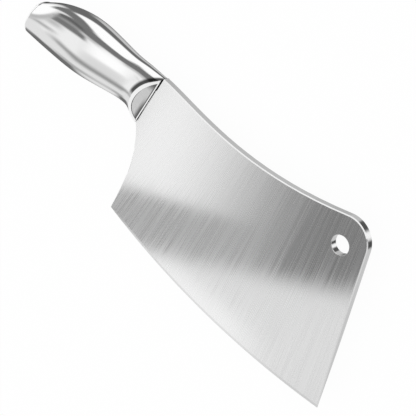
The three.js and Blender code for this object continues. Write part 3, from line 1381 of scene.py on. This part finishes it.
@dataclass(frozen=True)
class ShadedCard:
    """Card that the blade mirrors, shaded by the place on the blade in millimetres.

    The card's own size and its height above the blade are in metres.
    """

    blade_top: float
    camera_place: Vector
    above_blade: float = 0.030
    size: float = 0.34
    behind: float = 0.97
    ahead: float = 0.20
    fade_along: Span = (-10, 110)
    band: float = 0.42
    band_top: Span = (0.42, -12.5)
    band_top_soft: float = 5
    band_foot: Span = (0.5725, -54.6)
    band_foot_soft: float = 9
    foot: float = 0.78
    edge: float = 1.0
    edge_down: Span = (-38, -58)
    edge_along: Span = (112, 60)
    strip: float = 1.08
    strip_starts: Span = (74, 76)
    joint_slope: float = -0.3
    joint_end: Span = (-44, -41)
    spine_end: Span = (70, 64)
    strip_along: Span = (10, 25)
    strip_up: Span = (80, 86)

    def hang(self) -> None:
        """Hang the card over the blade, where nothing but a mirror image shows it."""
        Bench.clear()
        bpy.ops.mesh.primitive_grid_add(x_subdivisions=2, y_subdivisions=2, size=self.size)
        card = bpy.context.object
        card.name = "card"
        card.location = (0, 0, self.blade_top + self.above_blade)
        Bench.apply_place()
        card.visible_camera = card.visible_diffuse = card.visible_shadow = False
        material, wiring = new_material("shaded_card")
        x, y = self.mirrored_place(wiring)
        glow = wiring.node("ShaderNodeEmission")
        level = wiring.mix(wiring.step(y, *self.strip_starts), self.level(wiring, x, y), self.strip)
        wiring.feed(glow.inputs["Strength"], level)
        wiring.show_blend(self.cover(wiring, x, y), wiring.node("ShaderNodeBsdfTransparent"), glow)
        card.data.materials.append(material)

    def mirrored_place(self, wiring: Wiring) -> tuple[Value, Value]:
        """Find the place on the blade that mirrors a point of the card to the photograph's viewpoint.

        Args:
            wiring: Nodes of the card.

        Returns:
            X and Y of that place in millimetres.
        """
        above = self.camera_place.z - self.blade_top
        spread = above / (above + self.above_blade)
        place = []
        for value, foot in zip(wiring.split(wiring.here()), self.camera_place.xy):
            near = wiring.math("MULTIPLY", wiring.math("SUBTRACT", value, foot), spread)
            place.append(wiring.math("DIVIDE", wiring.math("ADD", near, foot), MM))
        return place[0], place[1]

    def level(self, wiring: Wiring, x: Value, y: Value) -> Value:
        """Shade the card: bright behind, with a grey band and a pale foot.

        Args:
            wiring: Nodes of the card.
            x: Place along the blade.
            y: Place up the blade.

        Returns:
            The card's brightness.
        """
        upper = wiring.mix(wiring.step(x, *self.fade_along), self.behind, self.ahead)
        band = wiring.math("MINIMUM", upper, self.band)
        above_band = wiring.math("SUBTRACT", y, wiring.math("MULTIPLY_ADD", x, *self.band_top))
        in_band = wiring.step(above_band, self.band_top_soft, -self.band_top_soft)
        lit = wiring.mix(in_band, upper, band)
        near_edge = wiring.overlap(wiring.step(y, *self.edge_down), wiring.step(x, *self.edge_along))
        foot = wiring.mix(near_edge, self.foot, self.edge)
        below_band = wiring.math("SUBTRACT", wiring.math("MULTIPLY_ADD", x, *self.band_foot), y)
        in_foot = wiring.step(below_band, -self.band_foot_soft, self.band_foot_soft)
        return wiring.mix(in_foot, lit, foot)

    def cover(self, wiring: Wiring, x: Value, y: Value) -> Value:
        """Cover the blade from the joint forwards, and a strip beyond the spine.

        Args:
            wiring: Nodes of the card.
            x: Place along the blade.
            y: Place up the blade.

        Returns:
            How solid the card is, from 0 to 1.
        """
        from_joint = wiring.math("MULTIPLY_ADD", y, self.joint_slope, x)
        ahead = wiring.step(from_joint, *self.joint_end)
        over_blade = wiring.overlap(ahead, wiring.step(y, *self.spine_end))
        over_strip = wiring.overlap(wiring.step(x, *self.strip_along), wiring.step(y, *self.strip_up))
        return wiring.math("ADD", over_blade, over_strip)


@dataclass
class Studio:
    """Floor, surrounding light and camera."""

    blade_top: float
    floor_radius: float = 4
    floor_points: int = 96
    floor_paint: float = 0.9
    floor_white: float = 0.96
    base_level: float = 0.80
    camera_place: Vector = Vector((0.284073, 0.284928, 0.389832))
    camera_right: Vector = Vector((0.686247, 0.280243, -0.671214))
    camera_up: Vector = Vector((-0.551872, 0.801729, -0.229496))
    camera_angle: float = 24
    camera_near: float = 0.01
    patches: tuple[Patch, ...] = (
        Patch(0.40, (-200, -150), (-42, -20), 6, 3),
        Patch(0.06, (-200, -150), (-64, -43), 6, 2),
        Patch(1.08, (40, 112), (-52, -10), 5, 5),
        Patch(0.15, (110, 200), (-59, -20), 7, 3),
        Patch(0.48, (150, 200), (-42, -20), 6, 4),
        Patch(0.92, (-42, 2), (-54, -31), 6, 5),
        Patch(0.74, (-40, -26), (-31, -10), 7, 5),
        Patch(1.08, (-20, 18), (-29, -10), 5, 4),
        Patch(1.08, (-200, 200), (-95, -66), 1, 3),
        Patch(0.20, (88, 125), (-70, -54), 6, 4),
        Patch(0.52, (-34, 55), (-66, -58), 8, 3, tilt=0.08),
        Patch(0.18, (49, 88), (-68, -28), 6, 6, -1.8),
        Patch(0.19, (2, 56), (-60, -33), 4, 2, tilt=-0.06),
        Patch(0.55, (-14, 2), (-60, -48), 8, 5, -0.3),
        Patch(0.32, (21, 30), (-60, -36), 5, 6, -0.3),
        Patch(0.62, (15, 24), (-37, -27), 4, 4, -0.2),
        Patch(0.12, (32, 42), (-60, -27), 5, 3, -0.7),
        Patch(0.18, (20, 44), (-36, -10), 3, 4, -0.6),
        Patch(0.55, (-54, -40), (-37, -18), 6, 4),
        Patch(0.45, (-84, -70), (-42, -29), 5, 4),
        Patch(0.28, (-49, -41), (-47, -20), 6, 5, -0.33),
        Patch(0.40, (-35, -28), (-62, -48), 5, 4, 0.33),
        Patch(0.16, (-200, -82), (-49, -35), 6, 3),
        Patch(0.22, (24, 52), (14, 80), 8, 8),
        Patch(0.30, (96, 150), (14, 80), 10, 8),
        Patch(0.25, (-60, -20), (-24, 4), 8, 4, turn=Turn.UPRIGHT),
        Patch(0.66, (-90, -16), (-75, -32), 6, 5, turn=Turn.UPRIGHT),
        Patch(0.60, (94, 152), (-75, -42), 6, 4, turn=Turn.UPRIGHT),
        Patch(0.08, (-22, 10), (-75, -32), 6, 5, turn=Turn.UPRIGHT),
        Patch(1.10, (20, 48), (-75, -32), 5, 5, turn=Turn.UPRIGHT),
        Patch(0.10, (57, 102), (-75, -38), 6, 5, turn=Turn.UPRIGHT),
    )

    def build(self) -> None:
        """Set up the camera, the surroundings, the floor and the card."""
        bpy.context.scene.view_settings.view_transform = "Standard"
        self.set_camera()
        self.set_surroundings()
        self.lay_floor()
        ShadedCard(self.blade_top, self.camera_place).hang()

    def set_camera(self) -> None:
        """Place the camera at the photograph's viewpoint."""
        camera = bpy.data.objects.new("camera", bpy.data.cameras.new("camera"))
        bpy.context.scene.collection.objects.link(camera)
        back = self.camera_right.cross(self.camera_up)
        turn = Matrix((self.camera_right, self.camera_up, back)).transposed().to_4x4()
        camera.matrix_world = Matrix.Translation(self.camera_place) @ turn
        camera.data.sensor_fit = "HORIZONTAL"
        camera.data.angle = math.radians(self.camera_angle)
        camera.data.clip_start = self.camera_near
        bpy.context.scene.camera = camera

    def set_surroundings(self) -> None:
        """Light all round evenly, with the patches where the steel mirrors the surroundings."""
        world = bpy.data.worlds.new("studio")
        bpy.context.scene.world = world
        world.use_nodes = True
        wiring = Wiring(world.node_tree)
        towards = wiring.node("ShaderNodeTexCoord").outputs["Generated"]
        x, y, z = wiring.split(towards)
        degrees = {
            Turn.ALONG: self.angles(wiring, y, z, x),
            Turn.UPRIGHT: self.angles(wiring, y, x, z),
        }
        level: Value = self.base_level
        for patch in self.patches:
            mask = self.patch_mask(wiring, patch, *degrees[patch.turn])
            level = wiring.mix(mask, level, patch.level)
        path = wiring.node("ShaderNodeLightPath")
        level = wiring.mix(path.outputs["Is Glossy Ray"], 1.0, level)
        light = {"Color": opaque_grey(1.0), "Strength": level}
        wiring.show(wiring.result("ShaderNodeBackground", light), "ShaderNodeOutputWorld")

    @staticmethod
    def angles(wiring: Wiring, first: Value, second: Value, along: Value) -> tuple[Value, Value]:
        """Measure a direction from an axis.

        Args:
            wiring: Nodes of the surroundings.
            first: The direction's part on the first axis across.
            second: Its part on the second axis across, where the angle is 0.
            along: Its part along the axis.

        Returns:
            Its angle round the axis and its rise along it, in degrees.
        """
        angle = wiring.math("DEGREES", wiring.math("ARCTAN2", first, second))
        rise = wiring.math("DEGREES", wiring.math("ARCSINE", along))
        return angle, rise

    @staticmethod
    def patch_mask(wiring: Wiring, patch: Patch, angle: Value, rise: Value) -> Value:
        """Mark one patch.

        Args:
            wiring: Nodes of the surroundings.
            patch: Patch to mark.
            angle: Angle of a direction round the patch's axis.
            rise: Rise of the direction along that axis.

        Returns:
            How far the direction lies inside the patch, from 0 to 1.
        """
        upwards = wiring.math("SUBTRACT", rise, sum(patch.rise) / 2)
        sideways = wiring.math("SUBTRACT", angle, sum(patch.angle) / 2)
        across = wiring.math("MULTIPLY_ADD", upwards, -patch.slant, angle)
        along = wiring.math("MULTIPLY_ADD", sideways, -patch.tilt, rise)
        masks = []
        for value, (low, high), soft in (
            (across, patch.angle, patch.soft),
            (along, patch.rise, patch.soft_rise),
        ):
            masks.append(wiring.step(value, low - soft, low + soft))
            masks.append(wiring.step(value, high + soft, high - soft))
        return wiring.overlap(*masks)

    def lay_floor(self) -> None:
        """Lay a plain white floor that keeps a faint shadow."""
        Bench.clear()
        bpy.ops.mesh.primitive_circle_add(
            vertices=self.floor_points, radius=self.floor_radius, fill_type="NGON"
        )
        floor = bpy.context.object
        floor.name = "floor"
        floor.visible_glossy = False
        material, wiring = new_material("white_floor")
        paint = wiring.node("ShaderNodeBsdfDiffuse")
        wiring.feed(paint.inputs["Color"], opaque_grey(self.floor_paint))
        path = wiring.node("ShaderNodeLightPath")
        share = wiring.math("MULTIPLY", path.outputs["Is Camera Ray"], self.floor_white)
        wiring.show_blend(share, paint, wiring.node("ShaderNodeEmission"))
        floor.data.materials.append(material)


@dataclass
class Cleaver:
    """The whole knife."""

    form: HandleForm
    blade: Blade
    skin_crease: float = 30
    plate_crease: float = 8
    front_facing: float = 0.9
    side_upright: float = 0.995
    side_upright_by_hole: float = 0.3
    bevel_upright: float = 0.96

    def build(self) -> dict[str, bpy.types.Object]:
        """Model, lay and dress the pieces.

        Returns:
            The pieces by the name of the node that each one stands for.
        """
        low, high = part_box("blade")
        front, foot = self.blade.tip_x * MM, self.blade.edge_depth * MM
        zero = Vector((high.x - front, low.y + foot, (low.z + high.z) / 2))
        joint = zero + self.form.joint * MM
        halves = HandleShells(self.form).build()
        handle = {
            "handle_shell_right": halves[Side.RIGHT],
            "handle_shell_left": halves[Side.LEFT],
            "end_cap": EndCap(self.form).build(),
            "bolster": Bolster(self.form).build(),
        }
        for piece in handle.values():
            Bench.lay(piece, joint, -self.form.joint_lean)
            Bench.smooth(piece, self.skin_crease)
        plate = self.blade.build()
        Bench.lay(plate, zero)
        Bench.smooth(plate, self.plate_crease)
        Bench.modify(plate, "WEIGHTED_NORMAL", keep_sharp=True)
        place = JointPlace(joint, self.form.lean)
        skin = MirrorSkin(place=place, form=self.form).material()
        for node in ("handle_shell_right", "handle_shell_left", "end_cap"):
            handle[node].data.materials.append(skin)
        self.dress_block(handle["bolster"], place)
        self.dress_plate(plate, zero + self.blade.hole * MM)
        return {"blade": plate, **handle}

    def dress_block(self, block: bpy.types.Object, place: JointPlace) -> None:
        """Give the bolster's facets and its front their own finishes, the front's grey painted dark as
        the shade in the joint's slit.

        Args:
            block: The bolster.
            place: Where the joint lies.
        """
        forward = Vector((math.cos(self.form.lean), -math.sin(self.form.lean), 0))
        for finish in (SatinFacet(place=place), PaintedJointShade()):
            block.data.materials.append(finish.material())
        for face in block.data.polygons:
            face.material_index = int(face.normal.dot(forward) > self.front_facing)

    def dress_plate(self, plate: bpy.types.Object, hole: Vector) -> None:
        """Give the plate's sides, its rims and its cutting bevel their own finishes.

        Args:
            plate: The blade.
            hole: Middle of its hole, in metres.
        """
        finishes = {
            PlateFace.SIDE: BrushedPlate(),
            PlateFace.RIM: PolishedRim(),
            PlateFace.BEVEL: HonedBevel(),
        }
        plate.data.materials.clear()
        for kind in PlateFace:
            plate.data.materials.append(finishes[kind].material())
        for face in plate.data.polygons:
            face.material_index = self.kind_of(face, hole).value

    def kind_of(self, face: bpy.types.MeshPolygon, hole: Vector) -> PlateFace:
        """Tell the kinds of face on the plate apart by how upright they stand.

        Args:
            face: Face of the plate.
            hole: Middle of its hole, in metres.

        Returns:
            The kind of face, with the hole's rounded rim taken as a side.
        """
        upright = abs(face.normal.z)
        by_hole = (face.center - hole).xy.length < self.blade.hole_diameter * MM
        if upright > (self.side_upright_by_hole if by_hole else self.side_upright):
            return PlateFace.SIDE
        return PlateFace.BEVEL if upright > self.bevel_upright else PlateFace.RIM


def main() -> None:
    """Build the cleaver and its studio around the frame."""
    logging.basicConfig(level=logging.INFO, format="%(name)s: %(message)s")
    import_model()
    form = HandleForm()
    for node, piece in Cleaver(form, Blade(form)).build().items():
        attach(piece, BODY)
        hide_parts(node)
        LOG.info("%s stands for %s with %d faces", piece.name, node, len(piece.data.polygons))
    Studio(blade_top=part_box("blade")[1].z).build()


if __name__ == "__main__":
    main()
